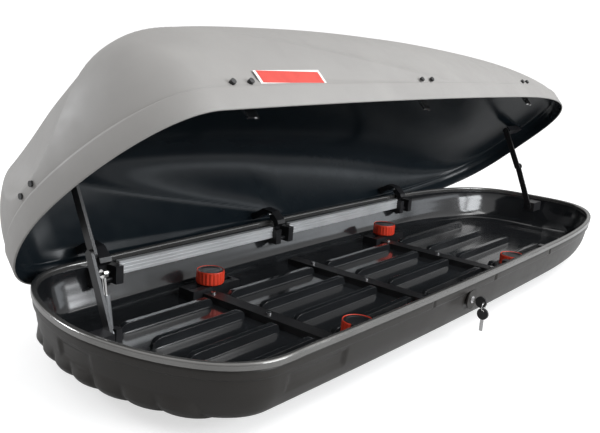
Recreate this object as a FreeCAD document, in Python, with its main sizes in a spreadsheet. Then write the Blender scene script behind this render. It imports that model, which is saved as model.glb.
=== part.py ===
import FreeCAD, Part
import math
import os
import Sketcher

# Roof cargo box, lid propped open. Units are millimetres.
# +X points to the nose, +Y to the hinge side, +Z up.  The origin is the centre of the flat underside.
V = FreeCAD.Vector
doc = FreeCAD.newDocument("RoofBox")

# ---------------------------------------------------------------- driving dimensions
DIMS = {
    "half_length": 968.0, "half_width": 320.0, "side_sag": 22.0,
    "tail_run": 178.0, "tail_p": 2.15, "tail_q": 1.77,
    "nose_run": 654.0, "nose_p": 2.77, "nose_q": 3.45,
    "rim_high": 116.0, "bead_high": 12.0, "wall": 4.0,
    "floor_rib_wide": 24.0, "floor_rib_high": 18.0, "floor_rib_pitch": 100.0, "rib_gap": 60.0,
    "bar_wide": 36.0, "bar_high": 15.0, "bar_wall": 2.5, "bar_half": 184.0,
    "bar_first": -476.0, "bar_pitch": 373.0,
    "clamp_back": -448.0, "clamp_front": 305.0, "clamp_side": 212.0,
    "clamp_long": 150.0, "clamp_wide": 50.0, "clamp_high": 24.0,
    "jaw_offset": 55.0, "jaw_thick": 12.0, "jaw_reach": 30.0, "jaw_pin": 3.0,
    "knob_rad": 33.0, "knob_wall": 6.0, "knob_high": 32.0, "knob_base": 30.0, "spindle_rad": 6.0,
    "hinge_side": 274.0, "hinge_high": 72.0, "hinge_pin": 5.0, "open_angle": 41.0,
    "block_back": -700.0, "block_mid": -125.0, "block_front": 505.0, "block_long": 70.0,
    "neck_wide": 30.0, "rail_high": 30.0, "rail_deep": 12.0,
    "flange_out": 10.0, "flange_low": 106.0, "lid_band": 36.0, "lid_crown": 234.0, "lid_nose": 68.0,
    "arm_tail": -908.0, "arm_nose": 872.0, "arm_side": -20.0, "arm_high": 88.0, "arm_low_long": 146.0,
    "arm_top_long": 133.7, "arm_half": 9.0, "arm_thick": 6.0, "arm_pin": 5.0, "arm_low_turn": 66.6,
    "strut_rad": 7.0, "rod_rad": 3.5, "strut_side": 5.0, "strut_high": 84.0,
    "lock_along": -151.0, "lock_high": 64.0, "lock_rad": 14.0, "plug_rad": 8.0,
    "strike_back": -705.0, "strike_mid": -118.0, "strike_front": 470.0,
}
sheet = doc.addObject("Spreadsheet::Sheet", "Dims")
for row, (alias, value) in enumerate(DIMS.items(), start=1):
    sheet.set("A%d" % row, alias)
    sheet.set("B%d" % row, str(value))
    sheet.setAlias("B%d" % row, alias)
doc.recompute()


def dim(alias):
    """Value of one spreadsheet cell."""
    return float(getattr(sheet, alias))


HL, HW, RIM, WALL = dim("half_length"), dim("half_width"), dim("rim_high"), dim("wall")
CREASE = RIM + dim("lid_band")
parts = {}


# ---------------------------------------------------------------- small builders
def bind(obj, prop, size):
    """Set a property from a number, or from a spreadsheet expression."""
    if isinstance(size, str):
        obj.setExpression(prop, size)
        return
    setattr(obj, prop, size)


def sheet_name(expression):
    return "Dims." + expression if expression in DIMS else expression


def box(name, size, corner):
    """Part::Box; each size is a number, an alias or an expression of aliases."""
    obj = doc.addObject("Part::Box", name)
    for prop, value in zip(("Length", "Width", "Height"), size):
        bind(obj, prop, sheet_name(value) if isinstance(value, str) else value)
    obj.Placement = FreeCAD.Placement(V(*corner), FreeCAD.Rotation())
    return obj


def rod(name, radius, length, start, axis=(0, 0, 1)):
    """Part::Cylinder from start along axis."""
    obj = doc.addObject("Part::Cylinder", name)
    bind(obj, "Radius", sheet_name(radius) if isinstance(radius, str) else radius)
    bind(obj, "Height", sheet_name(length) if isinstance(length, str) else length)
    obj.Placement = FreeCAD.Placement(V(*start), FreeCAD.Rotation(V(0, 0, 1), V(*axis)))
    return obj


def fuse(name, shapes):
    obj = doc.addObject("Part::MultiFuse", name)
    obj.Shapes = shapes
    return obj


def cut(name, base, tool):
    obj = doc.addObject("Part::Cut", name)
    obj.Base, obj.Tool = base, tool
    return obj


def common(name, first, second):
    obj = doc.addObject("Part::MultiCommon", name)
    obj.Shapes = [first, second]
    return obj


def free(name, shape):
    """A shape that no sketch or primitive describes."""
    obj = doc.addObject("Part::Feature", name)
    obj.Shape = shape
    return obj


PLANES = {"XY": "XY_Plane", "XZ": "XZ_Plane", "YZ": "YZ_Plane"}


def sketch_body(name, plane, draw, thick, shift=(0, 0, 0)):
    """PartDesign body: one sketch on an origin plane, padded by thick, then moved by shift."""
    body = doc.addObject("PartDesign::Body", name)
    sketch = body.newObject("Sketcher::SketchObject", name + "_sketch")
    role = [f for f in body.Origin.OriginFeatures if f.Role == PLANES[plane]][0]
    sketch.AttachmentSupport = [(role, "")]
    sketch.MapMode = "FlatFace"
    draw(sketch)
    pad = body.newObject("PartDesign::Pad", name + "_pad")
    pad.Profile = sketch
    bind(pad, "Length", sheet_name(thick) if isinstance(thick, str) else thick)
    doc.recompute()
    body.Placement = FreeCAD.Placement(V(*shift), FreeCAD.Rotation())
    return body


def closed_line(sketch, points):
    flat = [V(a, b, 0) for a, b in points]
    for a, b in zip(flat, flat[1:] + flat[:1]):
        sketch.addGeometry(Part.LineSegment(a, b), False)


def circle(sketch, centre, radius):
    sketch.addGeometry(Part.Circle(V(centre[0], centre[1], 0), V(0, 0, 1), radius), False)


def stadium(sketch, first, last, half):
    """Slot outline: two straights closed by half circles round first and last."""
    a, b = V(first[0], first[1], 0), V(last[0], last[1], 0)
    along = (b - a).normalize()
    side = V(-along.y, along.x, 0) * half
    turn = math.atan2(along.y, along.x)
    sketch.addGeometry(Part.LineSegment(a - side, b - side), False)
    sketch.addGeometry(Part.ArcOfCircle(Part.Circle(b, V(0, 0, 1), half), turn - math.pi / 2,
                                        turn + math.pi / 2), False)
    sketch.addGeometry(Part.LineSegment(b + side, a + side), False)
    sketch.addGeometry(Part.ArcOfCircle(Part.Circle(a, V(0, 0, 1), half), turn + math.pi / 2,
                                        turn + 3 * math.pi / 2), False)


def link(name, first, last, half, thick, shift, bores):
    """Flat bar in the YZ plane with round ends and bores (point, radius)."""
    def draw(sketch):
        stadium(sketch, first, last, half)
        for centre, radius in bores:
            circle(sketch, centre, radius)
    return sketch_body(name, "YZ", draw, thick, shift)


def ribbon(name, path, half, thick, shift, bores):
    """Curved flat bar in the YZ plane: a thick polyline with mitred corners."""
    left, right = [], []
    for i, point in enumerate(path):
        before, after = path[max(i - 1, 0)], path[min(i + 1, len(path) - 1)]
        along = V(after[0] - before[0], after[1] - before[1], 0).normalize()
        left.append((point[0] - along.y * half, point[1] + along.x * half))
        right.append((point[0] + along.y * half, point[1] - along.x * half))

    def draw(sketch):
        closed_line(sketch, left + right[::-1])
        for centre, radius in bores:
            circle(sketch, centre, radius)
    return sketch_body(name, "YZ", draw, thick, shift)


def keep(name, obj, opened=False):
    """Register one sub-part; pieces of the lid are swung to the open rest pose."""
    obj.Label = name
    if opened:
        obj.Placement = OPEN.multiply(obj.Placement)
    parts[name] = obj
    return obj


HINGE = V(0, dim("hinge_side"), dim("hinge_high"))
OPEN = FreeCAD.Placement(V(0, 0, 0), FreeCAD.Rotation(V(1, 0, 0), -dim("open_angle")), HINGE)


# ---------------------------------------------------------------- plan outline of the box
def half_width_at(x, grow=0.0):
    """Half width of the plan outline at x, grown outwards by grow."""
    tail, nose = dim("tail_run"), dim("nose_run")
    back = min(max((tail - HL - x) / (tail + grow), 0.0), 1.0)
    front = min(max((x - HL + nose) / (nose + grow), 0.0), 1.0)
    wide_back = (1 - back ** dim("tail_p")) ** (1 / dim("tail_q"))
    wide_front = (1 - front ** dim("nose_p")) ** (1 / dim("nose_q"))
    sag = 1 - dim("side_sag") / HW * ((x + 19.0) / HL) ** 2
    return (HW + grow) * min(wide_back, wide_front) * sag


def outline_points(grow, count=64):
    """Equally spaced points once round the outline, from the nose."""
    dense = 900
    half = []
    for i in range(dense + 1):
        x = (HL + grow - 1e-6) * math.cos(math.pi * i / dense)
        half.append((x, half_width_at(x, grow)))
    ring = half + [(x, -y) for x, y in half[-2:0:-1]]
    steps = [math.dist(ring[i], ring[(i + 1) % len(ring)]) for i in range(len(ring))]
    total, run, points, i = sum(steps), 0.0, [], 0
    for k in range(count):
        goal = total * k / count
        while run + steps[i] < goal:
            run += steps[i]
            i += 1
        f = (goal - run) / steps[i]
        a, b = ring[i], ring[(i + 1) % len(ring)]
        points.append((a[0] + (b[0] - a[0]) * f, a[1] + (b[1] - a[1]) * f))
    return points


def outline_wire(z, grow):
    curve = Part.BSplineCurve()
    curve.interpolate(Points=[V(x, y, z) for x, y in outline_points(grow)], PeriodicFlag=True)
    return Part.Wire(curve.toShape())


def prism(low, high, grow):
    """Straight-sided solid with the plan outline."""
    return Part.Face(outline_wire(low, grow)).extrude(V(0, 0, high - low))


def lofted(levels):
    """Solid lofted through (height, grow) levels of the outline."""
    return Part.makeLoft([outline_wire(z, grow) for z, grow in levels], True, False)


# ---------------------------------------------------------------- tub
TUB_LEVELS = [(0, -62), (4, -45), (16, -27), (42, -14), (84, -7), (104, -6)]
CAVITY_LEVELS = [(4, -70), (8, -53), (20, -35), (45, -22), (84, -15), (106, -13)]
BEAD_LOW = RIM - dim("bead_high")
tub_outer = free("tub_outer", lofted(TUB_LEVELS).fuse(prism(86, BEAD_LOW, -3)))
tub_cavity = free("tub_cavity", lofted(CAVITY_LEVELS))

RIB_W, RIB_H, GAP = dim("floor_rib_wide"), dim("floor_rib_high"), dim("rib_gap") / 2
bar_places = [dim("bar_first") + k * dim("bar_pitch") for k in range(3)]
rib_runs = [(-752.0, bar_places[0] - GAP), (bar_places[0] + GAP, bar_places[1] - GAP),
            (bar_places[1] + GAP, bar_places[2] - GAP), (bar_places[2] + GAP, 648.0)]
ribs = []
for lane in (-1.5, -0.5, 0.5, 1.5):
    side = lane * dim("floor_rib_pitch")
    for start, end in rib_runs:
        if lane > 1 and end > 600:
            end = 715.0
        rib = Part.makeBox(end - start, RIB_W, RIB_H + 1, V(start, side - RIB_W / 2, WALL - 1))
        top = [e for e in rib.Edges if min(v.Z for v in e.Vertexes) > WALL + RIB_H - 1]
        ribs.append(rib.makeFillet(6.0, top))

# claw slots through the floor, the lock hole and the hand-grip dishes
slots = []
clamp_places = [(x, s * dim("clamp_side")) for x in (dim("clamp_back"), dim("clamp_front")) for s in (1, -1)]
for x, y in clamp_places:
    for way in (-1, 1):
        slots.append(Part.makeBox(30, 20, 40, V(x + way * dim("jaw_offset") - 15 - way * 4, y - 10, -20)))
LOCK_X, LOCK_Z = dim("lock_along"), dim("lock_high")
lock_face = half_width_at(LOCK_X, -10.0)
slots.append(Part.makeCylinder(dim("lock_rad"), 60, V(LOCK_X, -lock_face - 30, LOCK_Z), V(0, 1, 0)))
skids = []
for k in range(6):
    side = 60.0 * (k - 2.5)
    skids.append(Part.makeCylinder(15.0, 330, V(-896, side, 11), V(1, 0, 0)))
    skids.append(Part.makeSphere(15.0, V(-896, side, 11)))
inner_skin = lofted([(z, grow - 2.2) for z, grow in TUB_LEVELS])
dishes = [Part.makeBox(80, 100, 42, V(-1000, -34, 40)), Part.makeBox(160, 80, 42, V(-770, -360, 40))]
dishes = [dish.cut(inner_skin) for dish in dishes]
tub_shape = tub_outer.Shape.fuse(skids).cut(tub_cavity.Shape).fuse(ribs).cut(slots + dishes)
keep("tub", free("tub_shell", tub_shape.removeSplitter()))

bead = prism(BEAD_LOW, RIM, 0).cut(prism(BEAD_LOW - 5, RIM + 5, -13))
top_edges = [e for e in bead.Edges if min(v.Z for v in e.Vertexes) > RIM - 1]
keep("rim_bead", free("rim_ring", bead.makeFillet(4.5, top_edges)))

# ---------------------------------------------------------------- steel cross bars on the floor
for label, x in zip(("bar_rear", "bar_middle", "bar_front"), bar_places):
    far = 244.0 if label == "bar_middle" else dim("bar_half")
    long_way = far + dim("bar_half")
    outer = box(label + "_outer", ("bar_wide", long_way, "bar_high"),
                (x - dim("bar_wide") / 2, -dim("bar_half"), WALL))
    inner = box(label + "_hollow",
                ("Dims.bar_wide - 2*Dims.bar_wall", long_way + 4, "Dims.bar_high - 2*Dims.bar_wall"),
                (x - dim("bar_wide") / 2 + dim("bar_wall"), -dim("bar_half") - 2, WALL + dim("bar_wall")))
    keep(label, cut(label + "_tube", outer, inner))

# ---------------------------------------------------------------- clamps
CLAMP_TOP = WALL + dim("clamp_high")
jaw_pivot_high = 16.0
for tag, (x, y) in zip(("rear_far", "rear_near", "front_far", "front_near"), clamp_places):
    block = box("clamp_block_" + tag, ("clamp_long", "clamp_wide", "clamp_high"),
                (x - dim("clamp_long") / 2, y - dim("clamp_wide") / 2, WALL))
    holes = [rod("clamp_bore_" + tag, "Dims.spindle_rad + 0.05", 40, (x, y, WALL - 5))]
    pins = []
    for way in (-1, 1):
        side = x + way * dim("jaw_offset")
        holes.append(box("clamp_slot_%s_%d" % (tag, way + 1), (30, 14, 40),
                         (side - 15 - way * 4, y - 7, WALL - 5)))
        pins.append(rod("clamp_pin_%s_%d" % (tag, way + 1), "jaw_pin", 16, (side, y - 8, jaw_pivot_high),
                        (0, 1, 0)))
    body = cut("clamp_cut_" + tag, block, fuse("clamp_holes_" + tag, holes))
    keep("clamp_" + tag, fuse("clamp_whole_" + tag, [body] + pins))

    # knob: ribbed ring, flat cap with spindle
    ring = rod("ring_out_" + tag, "knob_rad", "knob_high", (x, y, dim("knob_base")))
    beads = []
    for k in range(20):
        turn = 2 * math.pi * k / 20
        beads.append(rod("ring_rib_%s_%d" % (tag, k), 2.2, "Dims.knob_high - 6",
                         (x + dim("knob_rad") * math.cos(turn), y + dim("knob_rad") * math.sin(turn),
                          dim("knob_base") + 3)))
    hollow = rod("ring_in_" + tag, "Dims.knob_rad - Dims.knob_wall", 60, (x, y, dim("knob_base") - 5))
    keep("knob_ring_" + tag, cut("ring_" + tag, fuse("ring_full_" + tag, [ring] + beads), hollow))
    cap = rod("cap_disc_" + tag, "Dims.knob_rad - Dims.knob_wall", 24, (x, y, dim("knob_base") + 3))
    stem = rod("cap_stem_" + tag, "spindle_rad", 30, (x, y, 6))
    keep("knob_cap_" + tag, fuse("cap_" + tag, [cap, stem]))

    # two claws that swing towards each other under the floor
    for way, end in ((-1, "rear"), (1, "nose")):
        side = x + way * dim("jaw_offset")
        low = -dim("jaw_reach")
        if way > 0:
            profile = [(5, 21), (5, low), (-13, low), (-13, low + 7), (-5, low + 7), (-5, 21)]
        else:
            profile = [(-5, 21), (-5, low), (13, low), (13, low + 7), (5, low + 7), (5, 21)]

        def draw(sketch, profile=profile):
            closed_line(sketch, profile)
            circle(sketch, (0, jaw_pivot_high), dim("jaw_pin") + 0.06)
        jaw = sketch_body("jaw_%s_%s" % (tag, end), "XZ", draw, "jaw_thick",
                          (side, y + dim("jaw_thick") / 2, 0))
        keep("claw_%s_%s" % (tag, end), jaw)

# ---------------------------------------------------------------- hinge rail, blocks, pins and gooseneck arms
HY, HZ = dim("hinge_side"), dim("hinge_high")
block_places = [dim("block_back"), dim("block_mid"), dim("block_front")]
NECK = dim("neck_wide")
BLOCK = dim("block_long")
rail_y = 284.0
for tag, x in zip(("rear", "middle", "front"), block_places):
    core = box("hinge_core_" + tag, ("block_long", 60, 40), (x - BLOCK / 2, 258, 62))
    gap = box("hinge_gap_" + tag, ("Dims.neck_wide + 1", 50, 60), (x - NECK / 2 - 0.5, 240, 55))
    slit = cut("hinge_fork_" + tag, core, gap)
    fitted = common("hinge_fit_" + tag, slit, tub_cavity)
    pin = rod("hinge_rod_" + tag, "hinge_pin", BLOCK - 8, (x - BLOCK / 2 + 4, HY, HZ), (1, 0, 0))
    keep("hinge_block_" + tag, fuse("hinge_whole_" + tag, [fitted, pin]))

for tag, start, end in (("rear", block_places[0], block_places[1]),
                        ("front", block_places[1], block_places[2])):
    long_way = end - start - BLOCK
    bar = box("rail_bar_" + tag, (long_way, "rail_deep", "rail_high"), (start + BLOCK / 2, rail_y - 12, 78))
    grooves = [box("rail_groove_%s_%d" % (tag, k), (long_way + 4, 3, 3),
                   (start + BLOCK / 2 - 2, rail_y - 13.5, 84 + 8 * k))
               for k in range(3)]
    back = box("rail_web_" + tag, (60, 60, 14), (start + BLOCK / 2 + long_way / 2 - 30, rail_y, 86))
    foot = common("rail_foot_" + tag, back, tub_cavity)
    keep("hinge_rail_" + tag,
         fuse("rail_" + tag, [cut("rail_cut_" + tag, bar, fuse("rail_grooves_" + tag, grooves)), foot]))


# ---------------------------------------------------------------- lid shell
def end_along(side, way, grow):
    """x of the outline at half width side, on the tail (-1) or the nose (+1)."""
    near, far = way * HL * 0.3, way * (HL + grow - 1e-6)
    for _ in range(50):
        middle = (near + far) / 2
        if half_width_at(middle, grow) > side:
            near = middle
        else:
            far = middle
    return (near + far) / 2


TAIL_CORNER, NOSE_CORNER, SCOOP = -870.0, 800.0, 34.0


def crown_at(x, drop):
    """Height of the roof above the crease: level behind, falling to the nose."""
    run = max((x + 400.0) / (HL + 400.0), 0.0)
    fall = (dim("lid_crown") - dim("lid_nose")) * run ** 1.8
    return dim("lid_crown") - fall - drop


def roof_point(u, v, grow, drop):
    """Point of the roof: u runs tail to nose, v runs near side to far side, both -1 to 1."""
    spine = u * -TAIL_CORNER if u < 0 else u * NOSE_CORNER
    y = v * half_width_at(spine, grow)
    if u < 0:
        x = spine + (-u) ** 3 * (end_along(abs(y), -1, grow) - TAIL_CORNER)
        rise = max(1 - (-u) ** 11.0, 0.0) ** 0.65
        # a scoop with a U-shaped edge, widest at the roof and closing to a point above the flange
        climb = min(max((rise - 0.11) / 0.84, 0.0), 1.0)
        wide = 160.0 * max(climb, 1e-6) ** 0.4
        x += SCOOP * math.sin(math.pi * climb ** 0.6) * max(1 - (y / wide) ** 2, 0.0)
    else:
        x = spine + u ** 3 * (end_along(abs(y), 1, grow) - NOSE_CORNER)
        rise = max(1 - u ** 4.6, 0.0) ** 0.6
    rise *= max(1 - abs(v) ** 6.0, 0.0) ** 0.75
    return V(x, y, CREASE + crown_at(x, drop) * rise)


def dome(grow, drop, skirt):
    """Closed solid under the roof surface, with a straight skirt below the crease."""
    lines, across = 33, 25
    grid = []
    for i in range(lines):
        u = math.sin(math.pi / 2 * (2.0 * i / (lines - 1) - 1))
        lanes = [math.sin(math.pi / 2 * (2.0 * j / (across - 1) - 1)) for j in range(across)]
        grid.append([roof_point(u, v, grow, drop) for v in lanes])
    surface = Part.BSplineSurface()
    surface.interpolate(grid)
    roof = surface.toShape()
    walls = [edge.extrude(V(0, 0, -skirt)) for edge in roof.Edges]
    low = [min(wall.Edges, key=lambda e: e.CenterOfMass.z) for wall in walls]
    bottom = Part.Face(Part.Wire(Part.__sortEdges__(low)))
    shell = Part.makeShell([roof, bottom] + walls)
    shell.sewShape()
    solid = Part.makeSolid(shell)
    if solid.Volume < 0:
        solid.reverse()
    return solid


FLANGE = dim("flange_out")
lid_solid = dome(FLANGE - 4, 0.0, 12).fuse(prism(dim("flange_low"), CREASE, FLANGE))
lid_hollow = dome(FLANGE - 8, WALL, 12).fuse(prism(dim("flange_low") - 5, CREASE - WALL, FLANGE - 4))
lid_outer = free("lid_outer", lid_solid)
lid_cavity = free("lid_cavity", lid_hollow)
keep("lid_shell", free("lid_skin", lid_solid.cut(lid_hollow)), opened=True)

# gooseneck arms, drawn closed and swung open with the lid
studs = []
NECK_PATH = [(274, 72), (258, 88), (250, 112), (254, 138), (270, 157), (330, 168)]
for tag, x in zip(("rear", "middle", "front"), block_places):
    arm = ribbon("neck_bar_" + tag, NECK_PATH[1:], 8.0, NECK, (x - NECK / 2, 0, 0), [])
    eye = rod("neck_eye_" + tag, 11.0, NECK, (x - NECK / 2, HY, HZ), (1, 0, 0))
    tongue = link("neck_tongue_" + tag, NECK_PATH[0], NECK_PATH[1], 8.0, NECK, (x - NECK / 2, 0, 0), [])
    bore = rod("neck_bore_" + tag, "Dims.hinge_pin + 0.05", NECK + 10, (x - NECK / 2 - 5, HY, HZ), (1, 0, 0))
    neck = cut("neck_cut_" + tag, fuse("neck_full_" + tag, [arm, eye, tongue]), bore)
    keep("gooseneck_" + tag, common("neck_fit_" + tag, neck, lid_cavity), opened=True)
    studs.append(rod("neck_stud_" + tag, 5.0, 9, (x - NECK / 2 - 9, 254, 138), (1, 0, 0)))
keep("neck_pins", fuse("neck_studs", studs), opened=True)

# ---------------------------------------------------------------- folding lid arms
BY, BZ = dim("arm_side"), dim("arm_high")
low_turn = math.radians(dim("arm_low_turn"))
LOW, TOP = dim("arm_low_long"), dim("arm_top_long")
elbow = (BY + LOW * math.cos(low_turn), BZ + LOW * math.sin(low_turn))
head = (97.0, 342.0)
closed = FreeCAD.Placement(OPEN).inverse()
T = dim("arm_thick")
for tag, plane, way in (("tail", dim("arm_tail"), 1), ("nose", dim("arm_nose"), -1)):
    # way points from the end wall towards the middle of the box
    outboard = plane - way * (T / 2 + 0.5)
    reach = 60.0
    start = outboard - reach if way > 0 else outboard
    foot = box("arm_foot_block_" + tag, (reach, 36, 30), (start, BY - 18, BZ - 15))
    pin = rod("arm_foot_pin_" + tag, "arm_pin", 7.5, (outboard, BY, BZ), (way, 0, 0))
    keep("arm_foot_" + tag,
         fuse("arm_foot_all_" + tag, [common("arm_foot_fit_" + tag, foot, tub_cavity), pin]))
    low_at = plane - T / 2
    lower = link("lower_bar_" + tag, (BY, BZ), elbow, dim("arm_half"), "arm_thick", (low_at, 0, 0),
                 [((BY, BZ), dim("arm_pin") + 0.05)])
    knuckle_at = plane + T / 2 if way < 0 else plane - T / 2 - 7
    if tag == "tail":
        mid = (BY + 110 * math.cos(low_turn), BZ + 110 * math.sin(low_turn))
        stub = rod("lower_stub", 3.0, 26, (plane + T / 2, mid[0], mid[1]), (1, 0, 0))
        keep("lower_arm_" + tag, fuse("lower_arm_all_" + tag, [lower, stub]))
    else:
        bulge = rod("lower_bulge_" + tag, 11.0, 7, (knuckle_at, elbow[0], elbow[1]), (1, 0, 0))
        keep("lower_arm_" + tag, fuse("lower_arm_all_" + tag, [lower, bulge]))
    up_at = plane + way * (T / 2 + 0.6) if way > 0 else plane - T / 2 - 0.6 - T
    upper = link("upper_bar_" + tag, elbow, head, dim("arm_half"), "arm_thick", (up_at, 0, 0),
                 [(head, dim("arm_pin") + 0.05)])
    keep("upper_arm_" + tag, upper)
    # bracket on the lid, drawn closed
    turned = closed.multVec(V(0, head[0], head[1]))
    plate_start = up_at - 0.6 - 200 if way > 0 else up_at + T + 0.6
    bracket = box("arm_head_block_" + tag, (200, 24, 18), (plate_start, turned.y - 12, turned.z - 9))
    fit = common("arm_head_fit_" + tag, bracket, lid_cavity)
    stud_at = up_at - 0.6 if way > 0 else up_at + T + 0.6
    stud = rod("arm_head_pin_" + tag, "arm_pin", 7.8, (stud_at, turned.y, turned.z), (way, 0, 0))
    keep("arm_head_" + tag, fuse("arm_head_all_" + tag, [fit, stud]), opened=True)

# gas strut beside the tail arm
plane = dim("arm_tail")
mid = (BY + 110 * math.cos(low_turn), BZ + 110 * math.sin(low_turn))
base = (dim("strut_side"), dim("strut_high"))
strut_x = plane + 18.0
aim = V(0, mid[0] - base[0], mid[1] - base[1])
aim_long = aim.Length
aim.normalize()
foot_at = V(strut_x, base[0], base[1])
tube_start = foot_at + aim * 9
tube = rod("strut_outer", "strut_rad", 60, tuple(tube_start), tuple(aim))
bore = rod("strut_bore", "Dims.rod_rad + 0.05", 60, tuple(tube_start + aim * 2), tuple(aim))
eye = rod("strut_eye", 7.0, 8, (strut_x - 4, base[0], base[1]), (1, 0, 0))
lug = rod("strut_lug", 3.5, 10, tuple(foot_at + aim * 4), tuple(aim))
hole = rod("strut_eye_hole", 4.05, 20, (strut_x - 10, base[0], base[1]), (1, 0, 0))
keep("strut_tube",
     cut("strut_tube_cut", fuse("strut_tube_full", [tube, eye, lug]), fuse("strut_holes", [bore, hole])))
rod_end = foot_at + aim * aim_long
shaft = rod("strut_shaft", "rod_rad", aim_long - 24 - 5, tuple(foot_at + aim * 24), tuple(aim))
ring_end = rod("strut_ring", 8.0, 8, (strut_x - 4, mid[0], mid[1]), (1, 0, 0))
ring_hole = rod("strut_ring_hole", 4.6, 20, (strut_x - 10, mid[0], mid[1]), (1, 0, 0))
keep("strut_rod", cut("strut_rod_cut", fuse("strut_rod_full", [shaft, ring_end]), ring_hole))
post = box("strut_post", (12, 16, 40), (strut_x + 7.8, base[0] - 8, 52))
post_pin = rod("strut_post_pin", 4.0, 15, (strut_x - 6, base[0], base[1]), (1, 0, 0))
post_leg = box("strut_leg", (12, 16, 54), (strut_x + 7.8, base[0] - 8, -2))
keep("strut_post", common("strut_post_fit", fuse("strut_post_all", [post, post_pin, post_leg]), tub_cavity))

# ---------------------------------------------------------------- lock
out_face = half_width_at(LOCK_X, -8.0)
housing = rod("lock_sleeve", "lock_rad", 40, (LOCK_X, -out_face - 1, LOCK_Z), (0, 1, 0))
collar = rod("lock_collar", 22.0, 3, (LOCK_X, -out_face - 4, LOCK_Z), (0, 1, 0))
core_hole = rod("lock_core_hole", "Dims.plug_rad + 0.05", 50, (LOCK_X, -out_face - 6, LOCK_Z), (0, 1, 0))
keep("lock_housing", cut("lock_case", fuse("lock_case_full", [housing, collar]), core_hole))
plug = rod("lock_plug_rod", "plug_rad", 44, (LOCK_X, -out_face - 5.5, LOCK_Z), (0, 1, 0))
cam = box("lock_cam", (8, 5, 26), (LOCK_X - 4, -out_face + 41, LOCK_Z - 4))
plug_full = fuse("lock_plug_full",
                 [plug, rod("lock_cam_boss", 8.0, 5, (LOCK_X, -out_face + 38.6, LOCK_Z), (0, 1, 0)), cam])
keyway = box("lock_keyway", (2.4, 22, 9), (LOCK_X - 1.2, -out_face - 7, LOCK_Z - 4.5))
keep("lock_plug", cut("lock_plug_cut", plug_full, keyway))
blade = box("key_shank", (2, 25, 8), (LOCK_X - 1.0, -out_face - 13, LOCK_Z - 4))
keep("key_blade", blade)
grip_y = -out_face - 26.0
grip = rod("key_grip_disc", 13.0, 5, (LOCK_X - 2.5, grip_y, LOCK_Z), (1, 0, 0))
grip_hole = rod("key_grip_hole", 2.6, 12, (LOCK_X - 6, grip_y - 7, LOCK_Z), (1, 0, 0))
keep("key_head", cut("key_grip", grip, grip_hole))

# key ring with the spare key hanging from it
ring_mid = V(LOCK_X, grip_y - 7, LOCK_Z - 9)
torus = doc.addObject("Part::Torus", "key_ring_wire")
torus.Radius1, torus.Radius2 = 9.5, 0.9
torus.Placement = FreeCAD.Placement(ring_mid, FreeCAD.Rotation(V(0, 0, 1), V(0, 1, 0)))
keep("key_ring", torus)
spare_z = ring_mid.z - 9.5 - 7.0
spare = rod("spare_disc", 13.0, 5, (LOCK_X - 2.5, ring_mid.y, spare_z), (1, 0, 0))
spare_hole = rod("spare_eye", 2.6, 12, (LOCK_X - 6, ring_mid.y, spare_z + 7), (1, 0, 0))
keep("spare_head", cut("spare_grip", spare, spare_hole))
shank = box("spare_shank", (2, 8, 28), (LOCK_X - 1, ring_mid.y - 4, spare_z - 40))
keep("spare_blade", cut("spare_shank_cut", shank,
                        rod("spare_edge", 13.0, 9, (LOCK_X - 4.5, ring_mid.y, spare_z), (1, 0, 0))))

# sliding lock bar inside the near wall with three catches, and its guides
strikes = [dim("strike_back"), dim("strike_mid"), dim("strike_front")]
BAR_Y, BAR_Z = -286.0, 88.0
slider = [box("slider_bar", (strikes[2] - strikes[0] + 60, 5, 10), (strikes[0] - 50, BAR_Y, BAR_Z))]
for k, x in enumerate(strikes):
    slider.append(box("slider_lug_%d" % k, (12, 8.5, 9), (x - 34, BAR_Y - 5.5, BAR_Z + 5)))
    slider.append(box("slider_finger_%d" % k, (22, 4, 5), (x - 34, BAR_Y - 5.5, BAR_Z + 9)))
keep("lock_bar", fuse("slider_all", slider))
guides = []
for k, x in enumerate((-560.0, -330.0, 90.0, 320.0)):
    outer = box("guide_block_%d" % k, (20, 70, 20), (x - 10, BAR_Y - 61, BAR_Z - 5))
    window = box("guide_window_%d" % k, (30, 5.8, 10.8), (x - 15, BAR_Y - 0.4, BAR_Z - 0.4))
    guides.append(common("guide_fit_%d" % k, cut("guide_cut_%d" % k, outer, window), tub_cavity))
keep("lock_guides", fuse("guides_all", guides))

# strikers on the lid: tongues that reach down inside the rim, drawn closed
tongues = []
for k, x in enumerate(strikes):
    tongue = box("tongue_%d" % k, (26, 5, 70), (x - 10, BAR_Y - 6, 92))
    arm = box("tongue_arm_%d" % k, (26, 60, 8), (x - 10, BAR_Y - 61, 154))
    eye = box("tongue_eye_%d" % k, (22, 9, 9), (x - 12, BAR_Y - 8, 95.5))
    whole = cut("tongue_cut_%d" % k, fuse("tongue_full_%d" % k, [tongue, arm]), eye)
    tongues.append(common("tongue_fit_%d" % k, whole, lid_cavity))
keep("strikers", fuse("tongues_all", tongues), opened=True)

# ---------------------------------------------------------------- trim: screws and the side label
heads = []
for k, x in enumerate((-736, -693, -134, -90, 442, 477)):
    heads.append(rod("lid_screw_%d" % k, 5.5, 30, (x, -half_width_at(x, 7.0) - 3, 161), (0, 1, 0)))
for k, y in enumerate((-27, 14)):
    heads.append(rod("tail_screw_%d" % k, 5.5, 30, (-HL - 8.0, y, 165), (1, 0, 0)))
keep("lid_screws", cut("lid_screws_cut", fuse("lid_screws_full", heads), lid_outer), opened=True)
tag_box = box("label_block", (180, 30, 32), (-668, -340, 156))
skin = free("label_skin", dome(FLANGE - 3.0, -1.0, 2))
keep("side_label", cut("label_cut", common("label_common", tag_box, skin), lid_outer), opened=True)
rivets = [rod("bar_bolt_%d_%d" % (i, j), 6.0, 4, (x, y, WALL + dim("bar_high")))
          for i, x in enumerate(bar_places) for j, y in enumerate((-172, 0, 172))]
keep("bar_bolts", fuse("bar_bolts_all", rivets))

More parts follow.
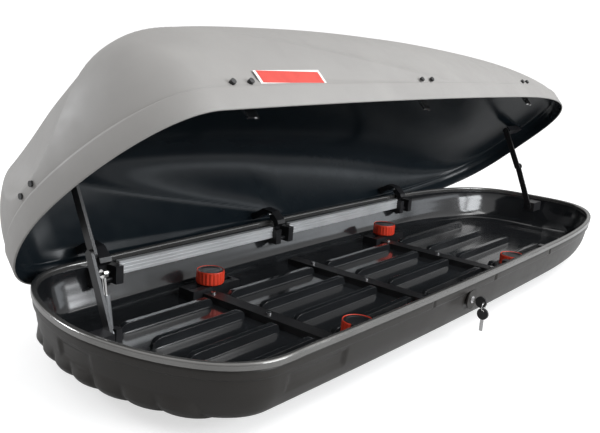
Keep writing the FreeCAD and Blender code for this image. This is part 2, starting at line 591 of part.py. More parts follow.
# ---------------------------------------------------------------- check and export
doc.recompute()
problems = [o.Name for o in doc.Objects if {"Invalid", "Error"} & set(o.State)]
os.makedirs("parts", exist_ok=True)
for name, obj in parts.items():
    shape = obj.Shape
    if shape.isNull() or not shape.isValid() or shape.Volume <= 0 or not shape.Solids:
        problems.append(name)
    shape.exportStep("parts/%s.step" % name)
print("parts", len(parts), "problems", problems)
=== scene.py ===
# %% [markdown]
# # A roof box with its lid propped open
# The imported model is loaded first. Every later cell reads its places and adds surfaces or finishes to it.
# All lengths are in metres. +X runs to the nose, +Y to the hinge side, +Z up.

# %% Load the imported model
import math
import bmesh
import bpy
import numpy as np
from mathutils import Matrix, Vector


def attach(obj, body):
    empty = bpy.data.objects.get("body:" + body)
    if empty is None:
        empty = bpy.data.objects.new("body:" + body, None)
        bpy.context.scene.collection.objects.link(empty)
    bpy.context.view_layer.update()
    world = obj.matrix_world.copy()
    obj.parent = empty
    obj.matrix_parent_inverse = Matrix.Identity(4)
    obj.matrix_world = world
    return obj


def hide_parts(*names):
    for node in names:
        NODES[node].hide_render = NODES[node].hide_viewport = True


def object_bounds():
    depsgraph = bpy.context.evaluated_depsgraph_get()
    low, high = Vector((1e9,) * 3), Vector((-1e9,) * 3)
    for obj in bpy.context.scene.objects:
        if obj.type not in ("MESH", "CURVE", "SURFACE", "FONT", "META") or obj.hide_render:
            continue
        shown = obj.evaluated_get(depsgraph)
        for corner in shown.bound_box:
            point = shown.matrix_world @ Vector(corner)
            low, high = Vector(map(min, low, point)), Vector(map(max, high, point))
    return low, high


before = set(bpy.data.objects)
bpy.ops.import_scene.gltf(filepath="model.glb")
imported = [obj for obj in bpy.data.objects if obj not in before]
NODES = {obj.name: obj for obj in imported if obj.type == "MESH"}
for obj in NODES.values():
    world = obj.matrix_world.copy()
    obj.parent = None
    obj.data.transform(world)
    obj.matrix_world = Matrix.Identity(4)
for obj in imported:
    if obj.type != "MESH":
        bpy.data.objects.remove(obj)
cad_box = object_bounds()
scene = bpy.context.scene
print("nodes", len(NODES))

# %% [markdown]
# ## Camera
# The camera looks along the box from behind the tail, a little above the rim, and is rolled a few degrees,
# as if the box were tipped towards the viewer. Three unit vectors give its right, up and back directions.

# %% Camera
RIGHT = Vector((0.63135, -0.77249, 0.06817))
UP = Vector((0.13569, 0.19660, 0.97105))
BACK = Vector((-0.76353, -0.60382, 0.22895))
camera_data = bpy.data.cameras.new("camera")
camera_data.lens = 44.56
camera_data.sensor_width = 36.0
camera = bpy.data.objects.new("camera", camera_data)
turn = Matrix((RIGHT, UP, BACK)).transposed().to_4x4()
camera.matrix_world = Matrix.Translation((-1.63486, -0.98365, 0.59760)) @ turn
scene.collection.objects.link(camera)
scene.camera = camera

# %% [markdown]
# ## Studio
# A pale seamless floor and large soft lights. Big lights give the wide, quiet reflections that gloss
# plastic needs:
# one overhead, one behind the tail, one low in front, and a strip that draws the bright line along the rim.

# %% Floor and lights
def area_light(name, place, target, size, power, tint=(1.0, 1.0, 1.0)):
    """A square soft light at place, aimed at target."""
    data = bpy.data.lights.new(name, "AREA")
    data.shape, data.size, data.size_y = "RECTANGLE", size[0], size[1]
    data.energy, data.color = power, tint
    lamp = bpy.data.objects.new(name, data)
    aim = Vector(target) - Vector(place)
    lamp.matrix_world = Matrix.Translation(place) @ aim.to_track_quat("-Z", "Y").to_matrix().to_4x4()
    scene.collection.objects.link(lamp)


area_light("key_light", (0.9, -1.9, 3.0), (0.1, 0.0, 0.2), (2.6, 1.6), 56)
area_light("near_light", (0.5, -3.0, 1.5), (-0.1, 0.25, 0.15), (2.4, 1.0), 72, (0.94, 0.97, 1.0))
area_light("tail_light", (-2.4, 2.9, 1.6), (-0.9, 0.1, 0.3), (1.0, 0.8), 52, (0.95, 0.97, 1.0))
area_light("nose_light", (2.3, -2.1, 0.62), (0.2, 0.2, 0.08), (2.0, 0.4), 4, (0.88, 0.94, 1.0))

# %% [markdown]
# ## Surround
# The backdrop seen by the camera is plain white. What lights the box is brightest overhead and dim at the
# horizon, so that gloss walls stay dark except where a lamp is mirrored.

# %% Studio surround
BACKDROP, HORIZON, OVERHEAD = 1.05, 0.20, 1.00
world = bpy.data.worlds.new("studio")
world.use_nodes = True
sky = world.node_tree
toward = sky.nodes.new("ShaderNodeSeparateXYZ")
level = sky.nodes.new("ShaderNodeMapRange")
level.inputs["From Min"].default_value, level.inputs["From Max"].default_value = -0.1, 0.8
level.inputs["To Min"].default_value, level.inputs["To Max"].default_value = HORIZON, OVERHEAD
path = sky.nodes.new("ShaderNodeLightPath")
choose = sky.nodes.new("ShaderNodeMix")
choose.inputs["B"].default_value = BACKDROP
sky.links.new(sky.nodes.new("ShaderNodeTexCoord").outputs["Generated"], toward.inputs[0])
sky.links.new(toward.outputs["Z"], level.inputs["Value"])
sky.links.new(path.outputs["Is Camera Ray"], choose.inputs["Factor"])
sky.links.new(level.outputs["Result"], choose.inputs["A"])
sky.links.new(choose.outputs["Result"], sky.nodes["Background"].inputs["Strength"])
sky.nodes["Background"].inputs["Color"].default_value = (1.0, 1.0, 1.0, 1.0)
scene.world = world
scene.view_settings.view_transform = "Standard"


# %% [markdown]
# ## Finishes
# Each finish is a small node tree on object coordinates: a base colour broken by soft noise, a roughness that
# varies a little, and a fine bump for the moulding grain. One builder makes them all from a few numbers.

# %% Finish builder
class Tree:
    """Short names for the nodes of one material."""

    def __init__(self, name):
        self.material = bpy.data.materials.new(name)
        self.material.use_nodes = True
        self.tree = self.material.node_tree
        self.shader = self.tree.nodes["Principled BSDF"]
        self.coords = self.tree.nodes.new("ShaderNodeTexCoord")

    def node(self, kind, **values):
        made = self.tree.nodes.new(kind)
        for key, value in values.items():
            if key in made.inputs:
                made.inputs[key].default_value = value
            else:
                setattr(made, key, value)
        return made

    def link(self, source, target):
        self.tree.links.new(source, target)

    def noise(self, scale, detail=3.0, stretch=(1.0, 1.0, 1.0)):
        place = self.node("ShaderNodeMapping")
        place.inputs["Scale"].default_value = stretch
        self.link(self.coords.outputs["Object"], place.inputs["Vector"])
        made = self.node("ShaderNodeTexNoise", Scale=scale, Detail=detail)
        self.link(place.outputs["Vector"], made.inputs["Vector"])
        return made.outputs["Fac"]

    def ramp(self, source, low, high, start=0.3, end=0.7):
        made = self.node("ShaderNodeMapRange")
        made.inputs["From Min"].default_value, made.inputs["From Max"].default_value = start, end
        made.inputs["To Min"].default_value, made.inputs["To Max"].default_value = low, high
        self.link(source, made.inputs["Value"])
        return made.outputs["Result"]

    def mix(self, factor, first, second):
        made = self.node("ShaderNodeMix", data_type="RGBA")
        for slot, value in ((6, first), (7, second)):
            if isinstance(value, tuple):
                made.inputs[slot].default_value = (*value, 1.0)
            else:
                self.link(value, made.inputs[slot])
        self.link(factor, made.inputs[0])
        return made.outputs[2]

    def bump(self, height, strength, distance):
        made = self.node("ShaderNodeBump", Strength=strength, Distance=distance)
        self.link(height, made.inputs["Height"])
        self.link(made.outputs["Normal"], self.shader.inputs["Normal"])


def finish(name, dark, light, rough, grain=900.0, grain_depth=0.0002, metallic=0.0, coat=0.0, patch=9.0,
           stretch=(1.0, 1.0, 1.0), specular=0.5):
    """A finish whose colour drifts from dark to light and whose roughness drifts between two values."""
    made = Tree(name)
    drift = made.noise(patch, 4.0)
    made.link(made.mix(made.ramp(drift, 0.0, 1.0), dark, light), made.shader.inputs["Base Color"])
    made.link(made.ramp(made.noise(patch * 3.0, 5.0, stretch), rough[0], rough[1]),
              made.shader.inputs["Roughness"])
    made.shader.inputs["Metallic"].default_value = metallic
    made.shader.inputs["Specular IOR Level"].default_value = specular
    if coat:
        made.shader.inputs["Coat Weight"].default_value = coat
        made.shader.inputs["Coat Roughness"].default_value = 0.08
    made.bump(made.noise(grain, 2.0, stretch), 0.35, grain_depth)
    return made.material


LID_OUT = finish("lid_matt_grey", (0.265, 0.257, 0.248), (0.290, 0.281, 0.271), (0.52, 0.62), 1400, 0.00035)
LID_IN = finish("lid_gloss_black", (0.007, 0.011, 0.015), (0.010, 0.015, 0.019), (0.20, 0.25), 1100,
                0.00004, specular=0.28)
RIM = finish("rim_polish", (0.16, 0.157, 0.152), (0.20, 0.196, 0.190), (0.16, 0.22), 300, 0.00005,
             metallic=0.7, coat=0.4)
STEEL_BLACK = finish("black_powder_coat", (0.008, 0.008, 0.009), (0.016, 0.016, 0.017), (0.34, 0.46), 2200,
                     0.0002)
BLACK = finish("black_moulding", (0.008, 0.008, 0.009), (0.018, 0.018, 0.020), (0.30, 0.42), 1500, 0.00025)
ZINC = finish("bright_zinc", (0.62, 0.62, 0.63), (0.78, 0.77, 0.76), (0.16, 0.28), 700, 0.00006, metallic=1.0)
RAIL = finish("brushed_aluminium", (0.66, 0.67, 0.68), (0.80, 0.81, 0.82), (0.30, 0.42), 420, 0.0001,
              metallic=0.5,
              stretch=(0.02, 1.0, 1.0))
ARM = finish("arm_dark_steel", (0.014, 0.014, 0.015), (0.026, 0.026, 0.027), (0.28, 0.40), 1600, 0.0002,
             metallic=0.4)
STRUT = finish("strut_grey_paint", (0.24, 0.25, 0.26), (0.30, 0.31, 0.32), (0.25, 0.34), 900, 0.0001,
               metallic=0.5)
ORANGE = finish("knob_orange", (0.66, 0.042, 0.016), (0.76, 0.056, 0.022), (0.34, 0.46), 1300, 0.0002)
RUBBER = finish("claw_rubber", (0.012, 0.012, 0.012), (0.022, 0.022, 0.022), (0.60, 0.75), 1800, 0.0003)

TUB_OUT = finish("tub_satin_gunmetal", (0.024, 0.022, 0.020), (0.030, 0.028, 0.026), (0.28, 0.34), 1300,
                 0.00012, specular=0.22)
TUB_IN = finish("tub_gloss_black", (0.010, 0.011, 0.012), (0.015, 0.016, 0.018), (0.15, 0.20), 1100,
                0.00003, coat=0.6)


# %% [markdown]
# The side label is plain printed film: a red field inside a white border, with no words. The border is
# where the
# distance to the label's edge, |x - centre| or |z - centre|, passes a limit.

# %% Label finish
LABEL_MIDDLE, LABEL_FIELD = {"X": -0.578, "Z": 0.5337}, {"X": 0.0835, "Z": 0.0096}


def label_finish():
    made = Tree("label_film")
    split = made.node("ShaderNodeSeparateXYZ")
    made.link(made.coords.outputs["Object"], split.inputs[0])
    edges = []
    for axis, centre in LABEL_MIDDLE.items():
        step = made.node("ShaderNodeMath", operation="SUBTRACT")
        made.link(split.outputs[axis], step.inputs[0])
        step.inputs[1].default_value = centre
        size = made.node("ShaderNodeMath", operation="ABSOLUTE")
        made.link(step.outputs[0], size.inputs[0])
        over = made.node("ShaderNodeMath", operation="GREATER_THAN")
        made.link(size.outputs[0], over.inputs[0])
        over.inputs[1].default_value = LABEL_FIELD[axis]
        edges.append(over.outputs[0])
    border = made.node("ShaderNodeMath", operation="MAXIMUM")
    made.link(edges[0], border.inputs[0])
    made.link(edges[1], border.inputs[1])
    red = made.mix(made.ramp(made.noise(40.0), 0.0, 1.0), (0.55, 0.035, 0.022), (0.62, 0.045, 0.028))
    made.link(made.mix(border.outputs[0], red, (0.80, 0.79, 0.77)), made.shader.inputs["Base Color"])
    made.link(made.ramp(made.noise(90.0), 0.32, 0.40), made.shader.inputs["Roughness"])
    return made.material


LABEL = label_finish()

# %% [markdown]
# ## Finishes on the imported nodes
# A table from the start of a node's name to its finish; the longest matching start wins.

# %% Paint the nodes
PAINT = {
    "tub": TUB_IN, "rim_bead": RIM, "bar_": STEEL_BLACK, "bar_bolts": ZINC, "clamp_": BLACK,
    "knob_ring": ORANGE,
    "knob_cap": BLACK, "claw_": RUBBER, "hinge_block": BLACK, "hinge_rail": RAIL, "gooseneck": BLACK,
    "neck_pins": ZINC, "lid_shell": LID_OUT, "lid_screws": BLACK, "side_label": LABEL, "strikers": ZINC,
    "arm_": BLACK, "lower_arm": ARM, "upper_arm": ARM, "strut_tube": STRUT, "strut_rod": ZINC,
    "strut_post": BLACK,
    "lock_housing": TUB_OUT, "lock_plug": ZINC, "lock_guides": BLACK, "lock_bar": STEEL_BLACK,
    "key_head": BLACK,
    "key_blade": ZINC, "key_ring": ZINC, "spare_head": BLACK, "spare_blade": ZINC,
}
for name, node in NODES.items():
    start = max((s for s in PAINT if name.startswith(s)), key=len)
    node.data.materials.clear()
    node.data.materials.append(PAINT[start])


# %% [markdown]
# ## Surfaces from grids
# A grid of points becomes a mesh in one call. The helper joins several grids, so a shell can be one closed
# piece.

# %% Mesh helpers
def grid_faces(rows, columns, first=0, closed=False, flip=False):
    """Quads of a rows x columns grid of vertices; closed joins the last column to the first."""
    i = np.arange(rows - 1)[:, None]
    j = np.arange(columns if closed else columns - 1)[None, :]
    a = i * columns + j
    b = i * columns + (j + 1) % columns
    quads = np.stack([a, b, b + columns, a + columns], -1).reshape(-1, 4) + first
    return quads[:, ::-1] if flip else quads


def piece(name, points, quads, finishes, which=None, smooth=True):
    """A mesh object from points (n x 3) and quads (m x 4)."""
    mesh = bpy.data.meshes.new(name)
    mesh.vertices.add(len(points))
    mesh.vertices.foreach_set("co", np.asarray(points, np.float32).ravel())
    mesh.loops.add(quads.size)
    mesh.loops.foreach_set("vertex_index", quads.astype(np.int32).ravel())
    mesh.polygons.add(len(quads))
    mesh.polygons.foreach_set("loop_start", np.arange(0, quads.size, 4, dtype=np.int32))
    mesh.polygons.foreach_set("use_smooth", np.full(len(quads), smooth))
    for material in finishes:
        mesh.materials.append(material)
    if which is not None:
        mesh.polygons.foreach_set("material_index", which.astype(np.int32))
    mesh.update(calc_edges=True)
    mesh.validate()
    made = bpy.data.objects.new(name, mesh)
    scene.collection.objects.link(made)
    return made


# %% [markdown]
# ## Lid skin
# The real lid is one thermoformed sheet: a flange band all round, a small step, then a dome that is highest
# behind the middle and falls to the nose, with a scooped tail between two soft fins. A sheet like this
# could be
# sculpted or boxed out; a formula keeps both faces exactly parallel and the step crisp.
# The dome is a grid over u (tail to nose) and v (near to far). The band is a profile carried round its edge.

# %% Plan outline
HALF_LONG, HALF_WIDE, SAG = 0.968, 0.320, 0.022
TAIL_RUN, NOSE_RUN = 0.178, 0.654
RIM_TOP, CREASE = 0.116, 0.152
HINGE_Y, HINGE_Z, OPEN = 0.274, 0.072, math.radians(41.0)


def half_width(x, grow):
    """Half width at x: a superellipse end at the tail and another at the nose, with gently bowed sides."""
    back = np.clip((TAIL_RUN - HALF_LONG - x) / (TAIL_RUN + grow), 0.0, 1.0)
    front = np.clip((x - HALF_LONG + NOSE_RUN) / (NOSE_RUN + grow), 0.0, 1.0)
    share = np.minimum((1 - back ** 2.15) ** (1 / 1.77), (1 - front ** 2.77) ** (1 / 3.45))
    return (HALF_WIDE + grow) * share * (1 - SAG / HALF_WIDE * ((x + 0.019) / HALF_LONG) ** 2)


def end_at(side, way, grow):
    """x of the outline at half width side, on the tail (way -1) or the nose (way +1)."""
    along = way * np.linspace(0.3 * HALF_LONG, HALF_LONG + grow - 1e-7, 4000)
    wide = half_width(along, grow)
    return np.interp(-side, -wide, along)


def swing(points):
    """Closed place to open place: a turn about the hinge line."""
    y, z = points[..., 1] - HINGE_Y, points[..., 2] - HINGE_Z
    c, s = math.cos(-OPEN), math.sin(-OPEN)
    return np.stack([points[..., 0], HINGE_Y + y * c - z * s, HINGE_Z + y * s + z * c], -1)


# %% [markdown]
# ## Dome
# One formula gives every point of the dome, so the outer and the inner face follow each other at 4 mm.
# A straight crease falls along each side towards the nose; the shoulder above it is hollowed to show it.

# %% Dome formula
TAIL_X, NOSE_X = -0.870, 0.800
CROWN, CROWN_FALL = 0.234, 0.166
SCOOP_DEEP, SCOOP_WIDE = 0.040, 0.190
LINE_START, LINE_SLOPE, LINE_END = 0.0023, -0.2314, 0.02
DENT_BELOW, DENT_ABOVE, DENT_REACH = 0.0048, 0.0090, 0.042


def dome(u, v, grow, drop):
    """Point of the dome. Plan: straight lanes bent outwards to meet the outline's ends, weight |u|^3.
    Height: crown(x) * (1-|u|^p)^q * (1-|v|^6)^0.75. The tail is pushed in by a scoop between two fins."""
    spine = np.where(u < 0, -u * TAIL_X, u * NOSE_X)
    y = v * half_width(spine, grow)
    rear = end_at(np.abs(v) * half_width(TAIL_X, grow), -1, grow)
    front = end_at(np.abs(v) * half_width(NOSE_X, grow), 1, grow)
    x = spine + np.where(u < 0, (-u) ** 3 * (rear - TAIL_X), u ** 3 * (front - NOSE_X))
    rise = np.where(u < 0, np.maximum(1 - np.abs(u) ** 11, 0) ** 0.65,
                    np.maximum(1 - np.abs(u) ** 4.6, 0) ** 0.6)
    climb = np.clip((rise - 0.11) / 0.84, 1e-6, 1.0)
    across = np.abs(y / (SCOOP_WIDE * climb ** 0.4))
    scoop = SCOOP_DEEP * np.sin(math.pi * climb ** 0.6) * np.maximum(1 - across ** 2.8, 0.0)
    x = x + np.where(u < 0, scoop, 0.0)
    fall = np.maximum((x + 0.4) / (HALF_LONG + 0.4), 0.0) ** 1.8
    crown = CROWN - CROWN_FALL * fall - drop
    rise = rise * np.maximum(1 - np.abs(v) ** 6, 0) ** 0.75
    # the crease: the shoulder above it is hollowed and the wall below it a little, so that the line stands proud
    height = crown * rise
    line = np.maximum(LINE_START + LINE_SLOPE * x, 1e-4)
    below = np.clip(height / line, 0.0, 1.0)
    above = np.maximum(height - line, 0.0) / DENT_REACH
    fade = np.clip(-(x - LINE_END) / 0.12, 0.0, 1.0) * np.clip((0.86 - np.abs(u)) / 0.06 + 1.0, 0.0, 1.0)
    dent = fade * np.where(below < 1, DENT_BELOW * np.minimum(8 * below, 1.0) * (1 - below),
                           DENT_ABOVE * above * np.exp(1 - above))
    y = y - np.sign(y) * dent * np.clip(np.abs(y) / 0.1, 0.0, 1.0)
    return np.stack([x, y, CREASE + height], -1)


# %% [markdown]
# ## Lid mesh
# The outer dome, the band's rings and the inner dome share one list of points. Loops of quads join them,
# so the
# lid is a single closed sheet with a grey outside and a black inside.

# %% Build the lid
def edge_loop(grid):
    """Indices round the border of a grid, in order."""
    rows, columns = grid
    index = np.arange(rows * columns).reshape(rows, columns)
    return np.concatenate([index[0, :-1], index[:-1, -1], index[-1, :0:-1], index[:0:-1, 0]])


ROWS, COLUMNS = 221, 161
U, VV = np.meshgrid(np.sin(np.linspace(-1, 1, ROWS) * math.pi / 2),
                    np.sin(np.linspace(-1, 1, COLUMNS) * math.pi / 2),
                    indexing="ij")
outer = dome(U, VV, 0.006, 0.0).reshape(-1, 3)
inner = dome(U, VV, 0.002, 0.004).reshape(-1, 3)
loop = edge_loop((ROWS, COLUMNS))
border = outer[loop]
along = np.roll(border, -1, 0) - np.roll(border, 1, 0)
outward = np.stack([along[:, 1], -along[:, 0], 0 * along[:, 0]], -1)
outward /= np.maximum(np.linalg.norm(outward, axis=1), 1e-9)[:, None]
if (outward * border).sum() < 0:
    outward = -outward
# band profile: (distance outwards, height), rounded at the step and at the lip
BAND = [(0.0012, CREASE - 0.0002), (0.0026, CREASE - 0.0008), (0.0036, CREASE - 0.0022),
        (0.0040, CREASE - 0.0042),
        (0.0040, 0.128), (0.0040, 0.1085), (0.0036, 0.1069), (0.0026, 0.1061), (0.0012, 0.1061),
        (0.0004, 0.1070),
        (0.0000, 0.1088), (0.0000, 0.128), (0.0000, CREASE - 0.0050), (-0.0014, CREASE - 0.0042)]
rings = np.concatenate([np.column_stack([border[:, :2] + outward[:, :2] * d,
                                         np.full(len(border), z)]) for d, z in BAND])
points = swing(np.concatenate([outer, rings, inner]))
count, around = len(outer), len(loop)


def join(first, second):
    """Quads between two closed loops of indices."""
    return np.stack([first, np.roll(first, -1), np.roll(second, -1), second], -1)


bands = [join(loop, count + np.arange(around))]
bands += [join(count + k * around + np.arange(around), count + (k + 1) * around + np.arange(around))
          for k in range(len(BAND) - 1)]
last = count + (len(BAND) - 1) * around + np.arange(around)
bands.append(join(last, count + len(BAND) * around + loop))
skin_quads = grid_faces(ROWS, COLUMNS)
lining_quads = grid_faces(ROWS, COLUMNS, count + len(BAND) * around, flip=True)
quads = np.concatenate([skin_quads] + bands + [lining_quads])
kind = np.concatenate([np.zeros(len(skin_quads)), np.repeat([0] * 10 + [1] * (len(bands) - 10), around),
                       np.ones(len(lining_quads))])
lid = piece("lid_skin", points, quads, [LID_OUT, LID_IN], kind)


def face_outwards(thing):
    """Recalculates the normals of a closed piece so that they point out of its material."""
    work = bmesh.new()
    work.from_mesh(thing.data)
    bmesh.ops.recalc_face_normals(work, faces=work.faces)
    if work.calc_volume(signed=True) < 0:
        bmesh.ops.reverse_faces(work, faces=work.faces)
    work.to_mesh(thing.data)
    work.free()


face_outwards(lid)
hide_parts("lid_shell")
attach(lid, "lid")
print("lid points", len(points))

# %% [markdown]
# ## Tub skin
# The real tub is vacuum-formed: one sheet pulled down into a mould, so every corner is a soft roll. The
# packed wall
# levels are passed through by a Catmull-Rom curve, and the curve is carried round the plan outline.
# Hollows for the two hand grips, the lock and the heel ribs are added as small moves along the outline's
# normal.

# %% Outline and wall curve
AROUND = 1040


def outline(grow):
    """AROUND points of the plan outline, evenly spaced along its length, from the tail round the near side."""
    x = np.sin(np.linspace(-1, 1, 1501) * math.pi / 2) * (HALF_LONG + grow)
    wide = half_width(x, grow)
    loop = np.concatenate([np.column_stack([x, -wide]), np.column_stack([x, wide])[-2:0:-1]])
    closed = np.concatenate([loop, loop[:1]])
    run = np.concatenate([[0.0], np.cumsum(np.linalg.norm(np.diff(closed, axis=0), axis=1))])
    steps = np.linspace(0.0, run[-1], AROUND, endpoint=False)
    return np.column_stack([np.interp(steps, run, closed[:, 0]), np.interp(steps, run, closed[:, 1])])


def through(knots, count):
    """count points per span of a Catmull-Rom curve through the knots."""
    p = np.array([2 * np.array(knots[0]) - knots[1], *knots, 2 * np.array(knots[-1]) - knots[-2]], float)
    t = np.linspace(0, 1, count, endpoint=False)[:, None]
    spans = [0.5 * (2 * p[i] + (p[i + 1] - p[i - 1]) * t
                    + (2 * p[i - 1] - 5 * p[i] + 4 * p[i + 1] - p[i + 2]) * t ** 2
                    + (3 * p[i] - p[i - 1] - 3 * p[i + 1] + p[i + 2]) * t ** 3) for i in range(1, len(p) - 2)]
    return np.concatenate(spans + [p[-2:-1]])


# wall curves as (height, grow), from the floor up outside and from the lip down inside
OUTSIDE = through([(0.0002, -0.068), (0.0012, -0.056), (0.006, -0.041), (0.016, -0.0275), (0.030, -0.0195),
                   (0.046, -0.0135), (0.066, -0.0098), (0.0835, -0.0076)], 6)
LIP = [(0.0848, -0.0066), (0.0858, -0.0044), (0.0872, -0.0034), (0.0890, -0.0031), (0.0965, -0.0031),
       (0.1038, -0.0031)]
INSIDE = through([(0.1040, -0.0128), (0.0950, -0.0136), (0.0820, -0.0165), (0.0660, -0.0222),
                  (0.0480, -0.0290),
                  (0.0310, -0.0362), (0.0190, -0.0450), (0.0100, -0.0600), (0.0058, -0.0780),
                  (0.0043, -0.1000)], 6)
profile = np.concatenate([OUTSIDE, LIP, INSIDE])


def hollow(along, height, centre, size, soft):
    """Depth 0..1 of a soft-edged box hollow."""
    inside = np.minimum((size[0] / 2 - np.abs(along - centre[0])) / soft,
                        (size[1] / 2 - np.abs(height - centre[1])) / soft)
    step = np.clip(inside, 0.0, 1.0)
    return step * step * (3 - 2 * step)


# %% [markdown]
# ## Tub mesh
# Each level of the wall curve gives one ring. The outer rings are pushed along their normals by the hollows.

# %% Build the tub skin
GRIP_DEEP, GRIP_HIGH, GRIP_SOFT = 0.0045, 0.061, 0.011
NOTCHES, NOTCH_DEEP = (-0.326, -0.041, 0.301), 0.0045
LOCK_X, LOCK_Z, LOCK_RADIUS = -0.151, 0.064, 0.024
HEEL_PITCH, HEEL_DEEP, HEEL_REACH = 0.062, 0.012, 0.217
rows = []
for index, (z, grow) in enumerate(profile):
    ring = outline(grow)
    if index < len(OUTSIDE) + len(LIP):
        step = np.roll(ring, -1, 0) - np.roll(ring, 1, 0)
        normal = np.column_stack([step[:, 1], -step[:, 0]])
        normal /= np.linalg.norm(normal, axis=1)[:, None]
        near, tail = ring[:, 1] < -0.15, ring[:, 0] < -0.80
        high = np.full(AROUND, z)
        depth = GRIP_DEEP * near * hollow(ring[:, 0], high, (-0.690, GRIP_HIGH), (0.160, 0.040), GRIP_SOFT)
        depth += GRIP_DEEP * tail * hollow(ring[:, 1], high, (0.016, GRIP_HIGH), (0.100, 0.040), GRIP_SOFT)
        for x in NOTCHES:
            depth += NOTCH_DEEP * near * hollow(ring[:, 0], high, (x, 0.0915), (0.009, 0.016), 0.0015)
        reach = np.hypot(ring[:, 0] - LOCK_X, z - LOCK_Z) / LOCK_RADIUS
        depth += GRIP_DEEP * near * np.clip(1 - reach ** 2, 0.0, 1.0) ** 0.5
        heel = np.clip((0.046 - z) / 0.020, 0.0, 1.0) * np.clip((-0.80 - ring[:, 0]) / 0.05, 0.0, 1.0)
        scallop = np.abs(np.cos(math.pi * ring[:, 1] / HEEL_PITCH)) ** 0.45
        depth -= HEEL_DEEP * heel * scallop * (np.abs(ring[:, 1]) < HEEL_REACH)
        ring = ring - normal * depth[:, None]
    rows.append(np.column_stack([ring, np.full(AROUND, z)]))
# the floor closes towards the box's long axis: the outside at the start, the inside at the end
SHRINK = np.array([0.96, 0.90, 0.80, 0.66, 0.50, 0.34, 0.18, 0.06, 0.0])
first, final = rows[0], rows[-1]
under = [first * (1, k, 1) for k in SHRINK[::-1]]
over = [final * (1, k, 1) for k in SHRINK]
tub_points = np.concatenate(under + rows + over)
tub_quads = grid_faces(len(under) + len(rows) + len(over), AROUND, closed=True)
lining = (np.arange(len(tub_quads)) // AROUND >= len(under) + len(OUTSIDE) + len(LIP) - 1).astype(int)


def weld(thing, distance=1e-6):
    """Closes seams and poles by merging points that lie on one another."""
    work = bmesh.new()
    work.from_mesh(thing.data)
    bmesh.ops.remove_doubles(work, verts=work.verts, dist=distance)
    work.to_mesh(thing.data)
    work.free()


tub = piece("tub_skin", tub_points, tub_quads, [TUB_OUT, TUB_IN], lining)
weld(tub)
face_outwards(tub)
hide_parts("tub")
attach(tub, "base")
print("tub points", len(tub_points))

# %% [markdown]
# ## Floor ribs
# Four lanes of raised ribs stiffen the floor between the cross bars. Each is a rounded trapezoid pulled
# along X
# whose height swells from nothing at both ends, as a vacuum-formed rib does. One mesh carries them all.

# %% Build the floor ribs
RIB = through([(-0.0125, -0.0030), (-0.0122, 0.0004), (-0.0100, 0.0026), (-0.0074, 0.0180), (-0.0068, 0.0194),
               (-0.0054, 0.0200), (0.0054, 0.0200), (0.0068, 0.0194), (0.0074, 0.0180), (0.0100, 0.0026),
               (0.0122, 0.0004), (0.0125, -0.0030)], 4)


def rib_grid(start, end, side):
    """Rib points: profile times a swell of sin^0.35 over the last 22 mm of each end."""
    x = np.concatenate([start + 0.022 * (1 - np.cos(np.linspace(0, math.pi / 2, 15))),
                        np.linspace(start + 0.022, end - 0.022, 9)[1:-1],
                        end - 0.022 * (1 - np.cos(np.linspace(math.pi / 2, 0, 15)))])
    swell = np.sin(np.clip(np.minimum(x - start, end - x) / 0.022, 0, 1) * math.pi / 2) ** 0.35
    y = side + RIB[None, :, 0] * (0.25 + 0.75 * swell[:, None])
    z = 0.0042 + (RIB[None, :, 1] + 0.004) * swell[:, None] - 0.004
    return np.stack([np.broadcast_to(x[:, None], y.shape), y, z], -1)


BARS = (-0.476, -0.103, 0.270)
runs = [(-0.760, BARS[0] - 0.026), (BARS[0] + 0.026, BARS[1] - 0.026), (BARS[1] + 0.026, BARS[2] - 0.026)]
rib_points, rib_quads, used = [], [], 0
for side in (-0.150, -0.050, 0.050, 0.150):
    for start, end in runs + [(BARS[2] + 0.026, 0.715 if side > 0.1 else 0.655)]:
        grid = rib_grid(start, end, side)
        rib_points.append(grid.reshape(-1, 3))
        rib_quads.append(grid_faces(grid.shape[0], grid.shape[1], used, closed=True))
        used += grid.shape[0] * grid.shape[1]
ribs = piece("floor_ribs", np.concatenate(rib_points), np.concatenate(rib_quads), [TUB_IN])
weld(ribs)
face_outwards(ribs)
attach(ribs, "base")

# %% [markdown]
# ## Clamp knobs
# Each knob is turned from a profile and fluted: its radius is r(h) * (1 + 0.022 cos 22a). The dark cap is
# a shallow
# dish with a chamfered edge, flush with the ring's top. Both are closed by their poles or by joining end
# to start.

# %% Build the knobs
def turned(profile, centre, steps=176, flutes=0, depth=0.0, band=(0.0, 1.0)):
    """Points of a profile (radius, height) spun about a vertical axis, fluted between two heights."""
    angle = np.linspace(0, 2 * math.pi, steps, endpoint=False)
    radius = profile[:, 0][:, None] * np.ones_like(angle)
    lit = ((profile[:, 1] > band[0]) & (profile[:, 1] < band[1]))[:, None]
    radius = radius * (1 + depth * lit * np.cos(flutes * angle))
    return np.stack([centre[0] + radius * np.cos(angle), centre[1] + radius * np.sin(angle),
                     centre[2] + profile[:, 1][:, None] * np.ones_like(angle)], -1)


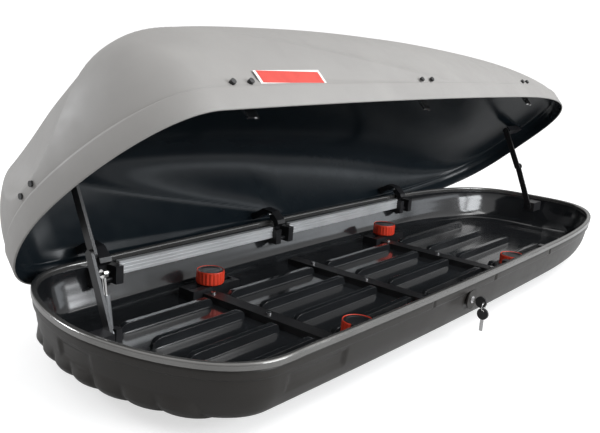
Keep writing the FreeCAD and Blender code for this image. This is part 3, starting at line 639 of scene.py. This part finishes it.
RING = np.array([(0.0300, 0.0), (0.0308, 0.0), (0.0318, 0.0010), (0.0325, 0.0030), (0.0327, 0.0060),
                 (0.0327, 0.0160),
                 (0.0327, 0.0280), (0.0326, 0.0300), (0.0322, 0.0312), (0.0316, 0.0317), (0.0310, 0.0314),
                 (0.0306, 0.0306), (0.0304, 0.0290), (0.0302, 0.0150)])
CAP = np.array([(0.0, 0.0050), (0.0298, 0.0050), (0.0301, 0.0200), (0.0301, 0.0298), (0.0298, 0.0307),
                (0.0290, 0.0311),
                (0.0240, 0.0311), (0.0228, 0.0300), (0.0190, 0.0293), (0.0060, 0.0293), (0.0, 0.0293)])
REAR_X, FRONT_X, SIDE_Y, KNOB_Z, STEPS = -0.448, 0.305, 0.212, 0.030, 176
KNOBS = {"rear_far": (REAR_X, SIDE_Y), "rear_near": (REAR_X, -SIDE_Y),
         "front_far": (FRONT_X, SIDE_Y), "front_near": (FRONT_X, -SIDE_Y)}
ring_quads = grid_faces(len(RING) + 1, STEPS, closed=True) % (len(RING) * STEPS)
for tag, (x, y) in KNOBS.items():
    grip = turned(RING, (x, y, KNOB_Z), flutes=22, depth=0.022, band=(0.0025, 0.029))
    ring = piece("knob_grip_" + tag, grip.reshape(-1, 3), ring_quads, [ORANGE])
    face_outwards(ring)
    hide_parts("knob_ring_" + tag)
    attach(ring, "knob_" + tag)
    top = turned(CAP, (x, y, KNOB_Z))
    cap = piece("knob_disc_" + tag, top.reshape(-1, 3), grid_faces(len(CAP), STEPS, closed=True), [BLACK])
    weld(cap)
    face_outwards(cap)
    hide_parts("knob_cap_" + tag)
    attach(cap, "knob_" + tag)

# %% [markdown]
# ## Floor
# A plain pale plane just under the lowest point. The camera sees it lifted to white, and what the box mirrors
# stays a pale grey.

# %% Floor
FLOOR_REACH = 9
FLOOR_Z = cad_box[0][2] - 0.0005
CORNERS = np.array([[-1, -1, 0], [1, -1, 0], [1, 1, 0], [-1, 1, 0]])
floor_quads = np.array([[0, 1, 2, 3]])
floor = piece("floor", FLOOR_REACH * CORNERS + [0, 0, FLOOR_Z], floor_quads,
              [finish("pale_floor", (0.50, 0.50, 0.50), (0.53, 0.53, 0.53), (0.6, 0.7), 200, 0.0001)],
              smooth=False)
glow = floor.data.materials[0].node_tree
seen = glow.nodes.new("ShaderNodeLightPath")
lift = glow.nodes.new("ShaderNodeMath")
lift.operation = "MULTIPLY"
lift.inputs[1].default_value = 0.62
glow.links.new(seen.outputs["Is Camera Ray"], lift.inputs[0])
glow.links.new(lift.outputs[0], glow.nodes["Principled BSDF"].inputs["Emission Strength"])
glow.nodes["Principled BSDF"].inputs["Emission Color"].default_value = (1.0, 1.0, 1.0, 1.0)
